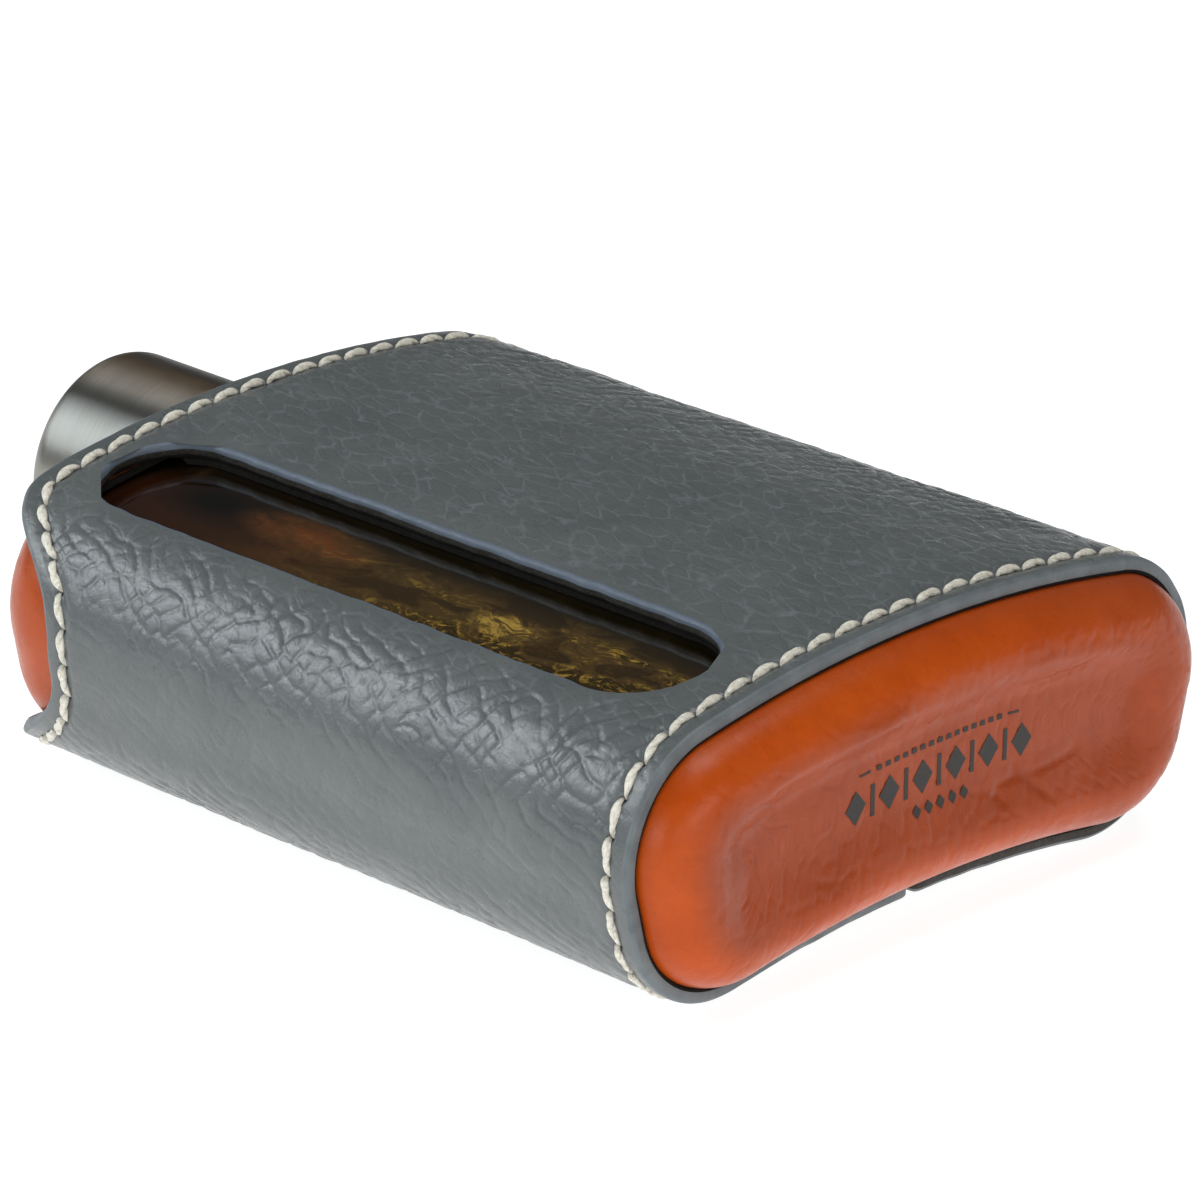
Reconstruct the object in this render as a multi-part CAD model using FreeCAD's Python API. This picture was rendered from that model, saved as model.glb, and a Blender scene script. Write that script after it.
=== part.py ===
"""Leather-wrapped glass hip flask, lying on its curved back with the window up.

The design frame has y = 0 at the base end of the sleeve, +Y towards the cap and z = 0 half way
through the body at its middle. Everything moves to the row frame at the end: the origin is the
middle of the bounding box at its lowest point. All sizes are in millimetres.
"""

import FreeCAD
import Part

import math
import os

V = FreeCAD.Vector
ALONG = V(0, 1, 0)

# ---- body: a rounded rectangle bent round an axis below the back --------------------------------
body_width = 84.0          # round the bend, outside the leather, at the base end
shoulder_width = 80.8      # the same at the shoulder end: the body narrows a little
body_thickness = 30.6
bend_radius = 168.0
corner_radius = 13.0
sleeve_length = 94.4

# ---- leather layers, from outside inwards --------------------------------------------------------
sleeve_leather = 1.7
layer_gap = 0.05           # glue line between neighbouring layers
skived_leather = 0.6       # lining, and the cup walls where they are pared thin under the sleeve
cup_leather = 1.4          # cups where they show
layer_inset = sleeve_leather + layer_gap
glass_inset = layer_inset + skived_leather + layer_gap

# ---- ends ----------------------------------------------------------------------------------------
base_bulge = 4.7           # how far the base cup stands out of the sleeve
base_round = 5.5
base_wall = 7.5            # depth of the base cup's wall under the sleeve
shoulder_top = 95.1        # outside of the shoulder cup, next to the neck
shoulder_side_round = 11.0
shoulder_face_round = 4.6
shoulder_wall = 7.0        # depth of the shoulder cup's wall under the sleeve
recess_depth = 2.8
recess_width = 62.0
recess_thickness = 12.0
recess_corner = 5.5
recess_draft = 1.7

# ---- scoop cut into each narrow side of the sleeve at the shoulder -------------------------------
scoop_depth = 12.1
scoop_half = 14.6
scoop_height = -0.8        # z of its deepest point
scoop_steps = 14

# ---- window --------------------------------------------------------------------------------------
window_centre = -23.7      # x
window_width = 15.5
window_start = 7.6         # y of the end nearest the base
window_end = 89.4
lining_margin = 0.2        # the lining is cut back this far round the window

# ---- bottle --------------------------------------------------------------------------------------
glass_wall = 3.7
glass_floor = 4.0
hollow_round = 4.0         # inside corners at the base
neck_height = 0.2          # z of the neck's axis
neck_radius = 9.45         # root of the thread
bore_radius = 6.6
mouth = 111.0              # y of the sealing face
bore_root = 4.0            # how far the bore runs down into the hollow
flare_growth = 1.8         # cone between the neck and the shoulder
flare_length = 2.4
flare_sink = 0.8
thread_pitch = 3.175
thread_rise = 0.95
thread_root = 1.5
thread_crest = 0.8
thread_turns = 2.0
thread_start = 100.6       # y of the ridge's first turn

# ---- cap -----------------------------------------------------------------------------------------
cap_radius = 12.2
cap_start = 97.2
cap_end = 116.0
cap_edge = 2.7
shell_wall = 0.5
cap_gap = 0.04
insert_radius = cap_radius - shell_wall - cap_gap
insert_bore = 10.75
insert_start = cap_start + 0.6
insert_turns = 1.6
seal_thickness = 1.3
seal_radius = 9.2
seal_gap = 0.05
cone_length = 3.6
cone_wide = 6.45
cone_narrow = 5.4
cone_wall = 0.8

# ---- thread for the seams ------------------------------------------------------------------------
stitch_pitch = 3.95
stitch_radius = 0.45
stitch_length = 3.5
stitch_slant = 9.0         # degrees out of the seam line
stitch_sink = 0.35         # how deep a stitch beds into the leather
stitch_margin = 2.6        # seam line to the sleeve's edge
seam_gap = 0.8
seam_reach = 3.0           # a lacing stitch starts and ends this far from the back seam
seam_start = 6.0
seam_end = 88.0

overshoot = 60.0           # reach of the cutting tools beyond the body


# ---- outlines ------------------------------------------------------------------------------------

def width_at(y):
    return body_width + (shoulder_width - body_width) * y / sleeve_length


def arc(start, end, centre, radius):
    """The short arc from start to end about a centre, as an edge."""
    middle = (start + end) * 0.5 - centre
    middle.normalize()
    return Part.Arc(start, centre + middle * radius, end).toShape()


def corner_centre(y, middle, up, target, distance):
    """The centre of a corner round: on the line through middle along up, at a distance from target."""
    offset = middle - target
    along = offset.dot(up)
    rise = math.sqrt(along * along - offset.dot(offset) + distance * distance) - along
    return middle + up * rise


def kidney(y, width, thickness, corner, inset=0.0):
    """Closed outline of the bent body in the plane y, moved inwards by inset."""
    phi = width / 2 / bend_radius
    up = V(math.sin(phi), 0, math.cos(phi))
    out = V(math.cos(phi), 0, -math.sin(phi))
    front = V(0, y, thickness / 2 - bend_radius)
    back = V(0, y, -thickness / 2 - bend_radius)
    side = V(0, y, -bend_radius) + up * bend_radius - out * corner
    high = corner_centre(y, side, up, front, bend_radius - corner)
    low = corner_centre(y, side, up, back, bend_radius + corner)
    r = corner - inset
    from_front = (high - front).normalize()
    from_back = (low - back).normalize()
    right = [
        front + from_front * (bend_radius - inset),
        high + out * r,
        low + out * r,
        back + from_back * (bend_radius + inset),
    ]

    def mirror(p):
        return V(-p.x, p.y, p.z)

    left = [mirror(p) for p in right]
    edges = [
        arc(right[0], left[0], front, bend_radius - inset),
        arc(left[0], left[1], mirror(high), r),
        Part.LineSegment(left[1], left[2]).toShape(),
        arc(left[2], left[3], mirror(low), r),
        arc(left[3], right[3], back, bend_radius + inset),
        arc(right[3], right[2], low, r),
        Part.LineSegment(right[2], right[1]).toShape(),
        arc(right[1], right[0], high, r),
    ]
    return Part.Wire(edges)


def body_outline(y, inset, side_pull=0.0, face_pull=0.0):
    """The body's own outline at y, drawn in by different amounts at the sides and faces."""
    return kidney(
        y,
        width_at(y) - 2 * side_pull,
        body_thickness - 2 * face_pull,
        corner_radius - face_pull,
        inset,
    )


def block(inset, start, end):
    """Straight stretch of the body between two planes."""
    return Part.makeLoft([body_outline(start, inset), body_outline(end, inset)], True, True)


def rounded_end(inset, start, end, side_round, face_round, steps=6):
    """The body's outline rounding over from the plane start to the plane end."""
    outlines = []
    for k in range(steps + 1):
        angle = math.pi / 2 * k / steps
        y = start + (end - start) * math.sin(angle)
        pull = 1 - math.cos(angle)
        outlines.append(body_outline(y, inset, side_round * pull, face_round * pull))
    return Part.makeLoft(outlines, True, False)


def recess_tool(floor, mouth_plane, growth):
    """Drafted kidney pocket in the base, from beyond the mouth plane to its floor."""
    draft = recess_draft * (floor - mouth_plane) / recess_depth
    wide = kidney(
        mouth_plane, recess_width + 2 * growth, recess_thickness + 2 * growth, recess_corner + growth
    )
    narrow = kidney(
        floor,
        recess_width + 2 * (growth - draft),
        recess_thickness + 2 * (growth - draft),
        recess_corner + growth - draft,
    )
    return Part.makeLoft([wide, narrow], True, True)


# ---- cutting tools -------------------------------------------------------------------------------

def edge_drop(z):
    """How far the sleeve's shoulder edge lies below its full length at height z."""
    reach = min(1.0, abs(z - scoop_height) / scoop_half)
    return scoop_depth * (1 - reach ** 3) ** 2


def beyond_shoulder_edge(offset):
    """Everything past the sleeve's shoulder edge, moved along the body by offset."""
    top = sleeve_length + offset
    points = []
    for k in range(scoop_steps + 1):
        z = scoop_height - scoop_half + 2 * scoop_half * k / scoop_steps
        points.append(V(-overshoot, top - edge_drop(z), z))
    curve = Part.BSplineCurve()
    curve.interpolate(points)
    corners = [
        points[-1],
        V(-overshoot, top, overshoot),
        V(-overshoot, top + overshoot, overshoot),
        V(-overshoot, top + overshoot, -overshoot),
        V(-overshoot, top, -overshoot),
        points[0],
    ]
    edges = [curve.toShape()]
    edges += [Part.LineSegment(a, b).toShape() for a, b in zip(corners, corners[1:])]
    return Part.Face(Part.Wire(edges)).extrude(V(2 * overshoot, 0, 0))


def window_tool(margin):
    """Upright slot with round ends through the front of the body."""
    r = window_width / 2 + margin
    first = window_start + window_width / 2
    last = window_end - window_width / 2
    bar = Part.makeBox(2 * r, last - first, overshoot, V(window_centre - r, first, 0))
    ends = [Part.makeCylinder(r, overshoot, V(window_centre, y, 0)) for y in (first, last)]
    return bar.fuse(ends).removeSplitter()


def seam_tool():
    """Slit along the middle of the back."""
    return Part.makeBox(
        seam_gap, 2 * sleeve_length, overshoot, V(-seam_gap / 2, -sleeve_length / 2, -overshoot)
    )


# ---- bottle --------------------------------------------------------------------------------------

def glass_form(clear=0.0):
    """Outside of the bottle's body. clear grows it, for cutting its seat in the leather."""
    inset = glass_inset - clear
    base = -base_bulge + cup_leather - clear
    base_turn = base + base_round - cup_leather / 2
    top = shoulder_top - cup_leather + clear
    top_turn = top - shoulder_side_round + cup_leather / 2
    form = block(inset, base_turn, top_turn)
    form = form.fuse(
        [
            rounded_end(inset, base_turn, base, base_round - 0.7, base_round - 0.7),
            rounded_end(inset, top_turn, top, shoulder_side_round - 0.7, shoulder_face_round - 0.7),
        ]
    )
    recess_floor = -base_bulge + recess_depth + cup_leather
    return form.cut(recess_tool(recess_floor - clear, base - 1.0, 1.3 - clear))


def thread_ridge(root, height, turns, start, outward):
    """Helical ridge round the neck's axis. Negative height reaches inwards from the root radius."""
    helix = Part.makeHelix(thread_pitch, thread_pitch * turns, root)
    bed = -0.15 if outward else 0.15
    profile = [
        V(root + bed, 0, -thread_root / 2),
        V(root, 0, -thread_root / 2),
        V(root + height, 0, -thread_crest / 2),
        V(root + height, 0, thread_crest / 2),
        V(root, 0, thread_root / 2),
        V(root + bed, 0, thread_root / 2),
    ]
    outline = Part.makePolygon(profile + [profile[0]])
    ridge = Part.Wire(helix).makePipeShell([outline], True, True)
    ridge.rotate(V(0, 0, 0), V(1, 0, 0), -90)
    ridge.translate(V(0, start, neck_height))
    return ridge


def on_neck(y):
    return V(0, y, neck_height)


def glass_bottle():
    top = shoulder_top - cup_leather
    neck = Part.makeCylinder(neck_radius, mouth - top + glass_wall, on_neck(top - glass_wall), ALONG)
    mouth_edge = [e for e in neck.Edges if abs(e.BoundBox.YMin - mouth) < 0.01 and e.Closed]
    neck = neck.makeFillet(0.8, mouth_edge)
    flare = Part.makeCone(
        neck_radius + flare_growth, neck_radius, flare_length, on_neck(top - flare_sink), ALONG
    )
    outside = glass_form().fuse(neck.fuse(flare))
    inset = glass_inset + glass_wall
    floor = -base_bulge + recess_depth + cup_leather + glass_floor
    floor_turn = floor + hollow_round
    top_turn = top - shoulder_side_round
    ceiling = top - glass_wall
    side_round = shoulder_side_round - hollow_round + 1.0
    hollow = block(inset, floor_turn, top_turn).fuse(
        [
            rounded_end(inset, floor_turn, floor, hollow_round, hollow_round),
            rounded_end(inset, top_turn, ceiling, side_round, hollow_round - 1.0),
        ]
    )
    bore_length = mouth - ceiling + bore_root
    bore = Part.makeCylinder(bore_radius, bore_length + 1, on_neck(ceiling - bore_root), ALONG)
    hollow = hollow.fuse(bore)
    brimful = (hollow.Volume - math.pi * bore_radius**2) / 1000
    print("bottle holds", round(brimful, 1), "ml to the brim")
    ridge = thread_ridge(neck_radius, thread_rise, thread_turns, thread_start, True)
    return outside.cut(hollow).fuse(ridge)


# ---- leather -------------------------------------------------------------------------------------

def grey_sleeve():
    tube = block(0, 0, sleeve_length + 0.5).cut(block(sleeve_leather, -1, sleeve_length + 2))
    return tube.cut([beyond_shoulder_edge(0), window_tool(0), seam_tool()])


def sleeve_lining():
    start = base_wall + 0.2
    tube = block(layer_inset, start, sleeve_length).cut(
        block(layer_inset + skived_leather, start - 1, sleeve_length + 1)
    )
    return tube.cut([beyond_shoulder_edge(-shoulder_wall - 0.2), window_tool(lining_margin)])


def base_cup():
    turn = -base_bulge + base_round
    outside = block(layer_inset, turn, base_wall).fuse(
        rounded_end(layer_inset, turn, -base_bulge, base_round, base_round)
    )
    outside = outside.cut(recess_tool(-base_bulge + recess_depth, -base_bulge, 0))
    return outside.cut(glass_form(layer_gap))


def shoulder_cup():
    turn = shoulder_top - shoulder_side_round
    outside = block(layer_inset, turn - 14, turn).fuse(
        rounded_end(layer_inset, turn, shoulder_top, shoulder_side_round, shoulder_face_round)
    )
    outside = outside.common(beyond_shoulder_edge(-shoulder_wall))
    hole = Part.makeCylinder(neck_radius + 1.35, 20, on_neck(shoulder_top - 10), ALONG)
    return outside.cut([glass_form(layer_gap), hole])


# ---- stitches ------------------------------------------------------------------------------------

def stitch(length):
    """One thread crossing, along +X, with round ends."""
    bar = Part.makeCylinder(stitch_radius, length - 2 * stitch_radius, V(0, 0, 0), V(1, 0, 0))
    bar.translate(V(-length / 2 + stitch_radius, 0, 0))
    ends = [
        Part.makeSphere(stitch_radius, V(side * (length / 2 - stitch_radius), 0, 0))
        for side in (-1, 1)
    ]
    return bar.fuse(ends).removeSplitter()


def place(shape, centre, along, outward):
    """A copy of shape with its X along one direction and its Z pointing outward, at centre."""
    x = V(along).normalize()
    y = V(outward).cross(x).normalize()
    z = x.cross(y)
    matrix = FreeCAD.Matrix(
        x.x, y.x, z.x, centre.x, x.y, y.y, z.y, centre.y, x.z, y.z, z.z, centre.z, 0, 0, 0, 1
    )
    copy = shape.copy()
    copy.transformShape(matrix)
    return copy


def seam_points(line, count):
    """count evenly spaced (point, direction) pairs along a closed list of points."""
    lengths = [0.0]
    for a, b in zip(line, line[1:]):
        lengths.append(lengths[-1] + (b - a).Length)
    step = lengths[-1] / count
    placed = []
    k = 0
    for n in range(count):
        wanted = (n + 0.5) * step
        while lengths[k + 1] < wanted:
            k += 1
        share = (wanted - lengths[k]) / (lengths[k + 1] - lengths[k])
        placed.append((line[k] + (line[k + 1] - line[k]) * share, (line[k + 1] - line[k]).normalize()))
    return placed


def seam_line(edge_y, samples=360):
    """Closed line on the sleeve's outside, stitch_margin inside the edge y = edge_y(z)."""
    ring = body_outline(0, 0).discretize(Number=samples + 1)
    high = [edge_y(p.z) for p in ring]
    line = []
    for k in range(samples):
        before, after = (k - 1) % samples, (k + 1) % samples
        run = (ring[after] - ring[before]).Length
        slope = (high[after] - high[before]) / run
        stretch = math.sqrt(1 + slope * slope)
        y = high[k] - stitch_margin / stretch
        along = (ring[after] - ring[before]) * (stitch_margin * slope / stretch / run)
        narrowing = width_at(y) / body_width
        point = ring[k] + along
        line.append(V(point.x * narrowing, y, point.z))
    return line + line[:1]


def outward_at(point):
    """Rough outward direction on the sleeve's surface at a point."""
    half = body_width / 2 - corner_radius
    x = max(-half, min(half, point.x))
    middle = V(x, point.y, -x * x / 2 / bend_radius)
    if abs(x) < half:
        up = V(x / bend_radius, 0, 1).normalize()
        return up if point.z > middle.z else up * -1
    return V(point.x - x, 0, point.z - middle.z).normalize()


def run_of_stitches(line):
    length = sum((b - a).Length for a, b in zip(line, line[1:]))
    single = stitch(stitch_length)
    made = []
    for point, along in seam_points(line, round(length / stitch_pitch)):
        outward = outward_at(point)
        slanted = FreeCAD.Rotation(outward, stitch_slant).multVec(along)
        centre = point + outward * (stitch_radius - stitch_sink)
        made.append(place(single, centre, slanted, outward))
    return Part.makeCompound(made)


def base_stitching():
    ring = body_outline(stitch_margin, 0).discretize(Number=361)
    return run_of_stitches(ring)


def shoulder_stitching():
    return run_of_stitches(seam_line(lambda z: sleeve_length - edge_drop(z)))


def seam_stitching():
    """Crossed lacing that draws the two edges of the sleeve together along the back."""
    count = round((seam_end - seam_start) / stitch_pitch)
    step = (seam_end - seam_start) / count
    lowest = -body_thickness / 2
    made = []
    for k in range(count):
        y = seam_start + (k + 0.5) * step
        for layer, side in enumerate((-1, 1)):
            z = lowest - stitch_radius + stitch_sink - layer * 0.2
            along = V(2 * seam_reach, side * step, 0)
            made.append(place(stitch(along.Length), V(0, y, z), along, V(0, 0, -1)))
    return Part.makeCompound(made)


# ---- cap -----------------------------------------------------------------------------------------

def cup_shape(radius, start, end, edge):
    """Solid cylinder along the neck's axis with a rounded outer end."""
    solid = Part.makeCylinder(radius, end - start, on_neck(start), ALONG)
    rim = [e for e in solid.Edges if e.Closed and abs(e.BoundBox.YMin - end) < 0.01]
    return solid.makeFillet(edge, rim)


def cap_shell():
    outside = cup_shape(cap_radius, cap_start, cap_end, cap_edge)
    inside = cup_shape(
        cap_radius - shell_wall, cap_start - 1, cap_end - shell_wall, cap_edge - shell_wall
    )
    return outside.cut(inside)


def cap_insert():
    end = cap_end - shell_wall - cap_gap
    outside = cup_shape(insert_radius, insert_start, end, cap_edge - shell_wall)
    roof = mouth + seal_gap + seal_thickness + seal_gap
    inside = Part.makeCylinder(insert_bore, roof - insert_start + 1, on_neck(insert_start - 1), ALONG)
    first = thread_start + thread_pitch / 2
    ridge = thread_ridge(insert_bore, -thread_rise, insert_turns, first, False)
    return outside.cut(inside).fuse(ridge)


def seal_cone():
    disc_start = mouth + seal_gap
    disc = Part.makeCylinder(seal_radius, seal_thickness, on_neck(disc_start), ALONG)
    outer = Part.makeCone(
        cone_narrow, cone_wide, cone_length, on_neck(disc_start - cone_length), ALONG
    )
    inner = Part.makeCone(
        cone_narrow - cone_wall,
        cone_wide - cone_wall,
        cone_length,
        on_neck(disc_start - cone_length - 0.01),
        ALONG,
    )
    return disc.fuse(outer).cut(inner)


# ---- export --------------------------------------------------------------------------------------

def main():
    parts = {
        "glass_bottle": glass_bottle(),
        "grey_sleeve": grey_sleeve(),
        "sleeve_lining": sleeve_lining(),
        "base_cup": base_cup(),
        "shoulder_cup": shoulder_cup(),
        "base_stitching": base_stitching(),
        "shoulder_stitching": shoulder_stitching(),
        "seam_stitching": seam_stitching(),
        "cap_shell": cap_shell(),
        "cap_insert": cap_insert(),
        "seal_cone": seal_cone(),
    }
    boxes = [shape.optimalBoundingBox() for shape in parts.values()]
    middle = (min(b.YMin for b in boxes) + max(b.YMax for b in boxes)) / 2
    bottom = min(b.ZMin for b in boxes)
    print("row frame shift", round(-middle, 4), round(-bottom, 4))
    os.makedirs("parts", exist_ok=True)
    for name, shape in parts.items():
        shape.translate(V(0, -middle, -bottom))
        print(name, shape.ShapeType, shape.isValid(), len(shape.Solids), round(shape.Volume, 1))
        shape.exportStep(f"parts/{name}.step")


main()
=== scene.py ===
"""Looks of the leather-wrapped hip flask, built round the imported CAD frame.

Shapes are worked out in millimetres in the part's own design frame (y = 0 at the base end of the
sleeve, +Y towards the cap, z = 0 half way through the body) and moved to the row frame at the end.
"""

import math

import bmesh
import bpy
import numpy as np
from mathutils import Matrix, Vector
from mathutils.geometry import delaunay_2d_cdt


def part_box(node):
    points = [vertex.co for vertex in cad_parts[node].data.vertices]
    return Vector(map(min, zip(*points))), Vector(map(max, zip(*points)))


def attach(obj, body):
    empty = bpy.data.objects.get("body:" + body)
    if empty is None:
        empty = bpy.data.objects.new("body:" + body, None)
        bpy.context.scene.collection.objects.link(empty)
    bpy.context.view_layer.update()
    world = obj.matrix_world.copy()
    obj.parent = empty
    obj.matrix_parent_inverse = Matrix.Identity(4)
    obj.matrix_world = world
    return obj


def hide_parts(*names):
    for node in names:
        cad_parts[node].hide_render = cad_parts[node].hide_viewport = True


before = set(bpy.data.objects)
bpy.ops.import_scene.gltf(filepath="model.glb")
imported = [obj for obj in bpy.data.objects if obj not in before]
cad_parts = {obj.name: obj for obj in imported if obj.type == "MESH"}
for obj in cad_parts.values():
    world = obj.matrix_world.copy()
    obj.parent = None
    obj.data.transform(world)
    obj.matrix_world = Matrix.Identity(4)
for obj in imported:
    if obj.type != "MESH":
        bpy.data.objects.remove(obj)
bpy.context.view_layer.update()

MM = 0.001

# ---- the part's own dimensions, in millimetres ----
BODY_WIDTH = 84.0  # at the base end
SHOULDER_WIDTH = 80.8  # at the cap end
THICKNESS = 30.6
BEND = 168.0  # radius of the domed front and of the hollow back
CORNER = 13.0  # radius of the body's long corners
SLEEVE_LENGTH = 94.4
SLEEVE_LEATHER = 1.7  # thickness
CUP_INSET = 1.75  # how far the cups lie under the sleeve's outside
CUP_WALL = 0.6  # thickness inside the sleeve
CUP_LEATHER = 1.4  # thickness across the base
BASE_BULGE = 4.7  # how far the base stands out of the sleeve
BASE_ROUND = 5.5  # radius of its rim
BASE_WALL = 7.5  # how far it reaches into the sleeve
RECESS_DEPTH = 1.7  # how far its middle is sunken
SHOULDER_TOP = 95.1  # y of the shoulder's highest point
SHOULDER_SIDE_ROUND = 9.2
SHOULDER_FACE_ROUND = 3.4
SHOULDER_LAP = 4.7  # how far the shoulder cup reaches into the sleeve
SCOOP_DEPTH = 12.0  # scoop in each narrow side of the sleeve's cap end
SCOOP_ABOVE = 14.6  # how far it runs towards the front
SCOOP_BELOW = 15.4  # and towards the back
SCOOP_HEIGHT = -1.5  # z of its lowest point
WINDOW_CENTRE = -23.7  # x
WINDOW_WIDTH = 15.5
WINDOW_START = 7.6  # y
WINDOW_END = 89.4
STITCH_PITCH = 3.95
STITCH_MARGIN = 2.6  # from a cut edge to its row of stitches
SEAM_GAP = 0.8
SEAM_REACH = 3.0  # from the back seam's middle to its stitch holes
SEAM_START = 6.0
SEAM_END = 88.0
NECK_HEIGHT = 0.2  # z of the neck's axis
NECK_HOLE = 10.8  # radius
CAP_RADIUS = 12.2
CAP_START = 97.2
CAP_END = 116.0
CAP_EDGE = 2.7  # radius of the rounded edge round the end
CAP_WALL = 0.5

# ---- how finely the meshes are made ----
EDGE_STEP = 0.42  # along the sleeve's cut edges
LINING_STEP = 3.0  # over the sleeve's plain inside
AROUND = 520  # points round a cup
BASE_RINGS = 30  # rings over the base, inside its rim
DOME_STEPS = 30  # steps of the shoulder's quarter turn that the rings are read from
SHOULDER_RINGS = 44
LID_RINGS = 18  # rings over the shoulder's flat end
STITCH_STEPS = 30
STITCH_SIDES = 24
CAP_SEGMENTS = 256

# ---- move to the row frame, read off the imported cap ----
cap_low, cap_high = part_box("cap_shell")
neck_axis = (cap_low.z + cap_high.z) / 2 / MM
SHIFT = np.array([0.0, cap_high.y / MM - CAP_END, neck_axis - NECK_HEIGHT])


# ---- noise ----

def hashed(i, j, seed):
    """Repeatable numbers from 0 to 1 for whole-number cells."""
    h = np.sin(i * 127.1 + j * 311.7 + seed * 74.7) * 43758.5453
    return h - np.floor(h)


def value_noise(u, v, seed):
    """Smooth noise from -1 to 1 with features one unit across."""
    i, j = np.floor(u), np.floor(v)
    fu, fv = u - i, v - j
    fu, fv = fu * fu * (3 - 2 * fu), fv * fv * (3 - 2 * fv)
    low = hashed(i, j, seed) * (1 - fu) + hashed(i + 1, j, seed) * fu
    high = hashed(i, j + 1, seed) * (1 - fu) + hashed(i + 1, j + 1, seed) * fu
    return 2 * (low * (1 - fv) + high * fv) - 1


def cells(u, v, seed):
    """Distances to the nearest and second nearest cell points, and a number for the nearest cell."""
    i, j = np.floor(u), np.floor(v)
    first = np.full(u.shape, 9.0)
    second = np.full(u.shape, 9.0)
    owner = np.zeros(u.shape)
    for di in (-1, 0, 1):
        for dj in (-1, 0, 1):
            a, b = i + di, j + dj
            px = a + 0.12 + 0.76 * hashed(a, b, seed)
            py = b + 0.12 + 0.76 * hashed(a, b, seed + 1)
            d = np.hypot(u - px, v - py)
            nearer = d < first
            second = np.where(nearer, first, np.minimum(second, d))
            owner = np.where(nearer, hashed(a, b, seed + 2), owner)
            first = np.where(nearer, d, first)
    return first, second, owner


def smoothstep(low, high, x):
    t = np.clip((x - low) / (high - low), 0, 1)
    return t * t * (3 - 2 * t)


def bell(x, width):
    """1 at 0, falling smoothly to about a third at width and to nothing beyond."""
    return np.exp(-((x / width) ** 2))


def pebbles(u, v, size, seed, groove=0.16):
    """Domed cells with sunken borders, from about -1 in a border to 1 on a crown."""
    wu = u + 0.9 * value_noise(u / 4.5, v / 4.5, seed + 11)
    wv = v + 0.9 * value_noise(u / 4.5, v / 4.5, seed + 12)
    first, second, owner = cells(wu / size, wv / size, seed)
    gap = second - first
    border = bell(gap, groove)
    dome = smoothstep(0, 0.75, gap)
    return (0.55 + 0.45 * owner) * dome - 0.9 * border


# ---- body outlines ----

def clockwise(angle):
    """Unit vectors (x, z) at an angle turned from +z towards +x."""
    return np.stack([np.sin(angle), np.cos(angle)], -1)


def corner_centre(middle, up, target, distance):
    """The point on a line from middle along up that lies at a distance from target."""
    offset = middle - target
    along = offset @ up
    return middle + up * (math.sqrt(along**2 - offset @ offset + distance**2) - along)


class Outline:
    """Right half of the bent body outline, from the middle of the front to the middle of the back."""

    def __init__(self, width, thickness, corner, inset=0.0):
        phi = width / 2 / BEND
        up = clockwise(phi)
        out = np.array([math.cos(phi), -math.sin(phi)])
        front = np.array([0, thickness / 2 - BEND])
        back = np.array([0, -thickness / 2 - BEND])
        side = np.array([0, -BEND]) + up * BEND - out * corner
        high = corner_centre(side, up, front, BEND - corner)
        low = corner_centre(side, up, back, BEND + corner)
        r = corner - inset
        turn_a = math.atan2(high[0], high[1] - front[1])
        turn_b = math.pi / 2 + phi
        turn_c = math.atan2(low[0], low[1] - back[1])
        stretches = [
            (front, BEND - inset, 0, turn_a, 1),
            (high, r, turn_a, turn_b, 1),
            (low, r, turn_b, math.pi + turn_c, 1),
            (back, BEND + inset, turn_c, 0, -1),
        ]
        points, normals = [], []
        for centre, radius, start, end, facing in stretches:
            spokes = clockwise(np.linspace(start, end, 200))
            points.append(centre + spokes * radius)
            normals.append(spokes * facing)
        self.points = np.concatenate(points)
        self.normals = np.concatenate(normals)
        steps = np.linalg.norm(np.diff(self.points, axis=0), axis=1)
        self.lengths = np.concatenate([[0], np.cumsum(steps)])
        self.half = self.lengths[-1]

    def at(self, q):
        """Points and outward normals at shares q of the half outline, negative on the left."""
        s = np.abs(q) * self.half
        sign = np.where(q < 0, -1.0, 1.0)
        point = np.stack([np.interp(s, self.lengths, self.points[:, k]) for k in (0, 1)], -1)
        normal = np.stack([np.interp(s, self.lengths, self.normals[:, k]) for k in (0, 1)], -1)
        normal /= np.linalg.norm(normal, axis=-1, keepdims=True)
        point[..., 0] *= sign
        normal[..., 0] *= sign
        return point, normal


outer_base = Outline(BODY_WIDTH, THICKNESS, CORNER)
outer_shoulder = Outline(SHOULDER_WIDTH, THICKNESS, CORNER)
HALF = (outer_base.half + outer_shoulder.half) / 2
RING_SHARES = 2 * (np.arange(AROUND) + 0.5) / AROUND - 1
RING_PLACES = RING_SHARES * HALF


def skin(s, y, depth=0.0):
    """Points and normals on the sleeve's outside, s round it from the middle of the front."""
    low, low_normal = outer_base.at(s / HALF)
    high, high_normal = outer_shoulder.at(s / HALF)
    share = (y / SLEEVE_LENGTH)[..., None]
    normal = low_normal * (1 - share) + high_normal * share
    point = low * (1 - share) + high * share - normal * np.asarray(depth)[..., None]
    point = np.stack([point[..., 0], y, point[..., 1]], -1)
    return point, np.stack([normal[..., 0], 0 * y, normal[..., 1]], -1)


def width_at(y):
    return BODY_WIDTH + (SHOULDER_WIDTH - BODY_WIDTH) * y / SLEEVE_LENGTH


def ring_at(y, inset, side_pull=0.0, face_pull=0.0):
    """Points round the body at y, drawn in at the sides and faces."""
    width = width_at(y) - 2 * side_pull
    point, _ = Outline(width, THICKNESS - 2 * face_pull, CORNER - face_pull, inset).at(RING_SHARES)
    return np.stack([point[:, 0], np.full(AROUND, y), point[:, 1]], -1)


# ---- mesh builder ----

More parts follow.
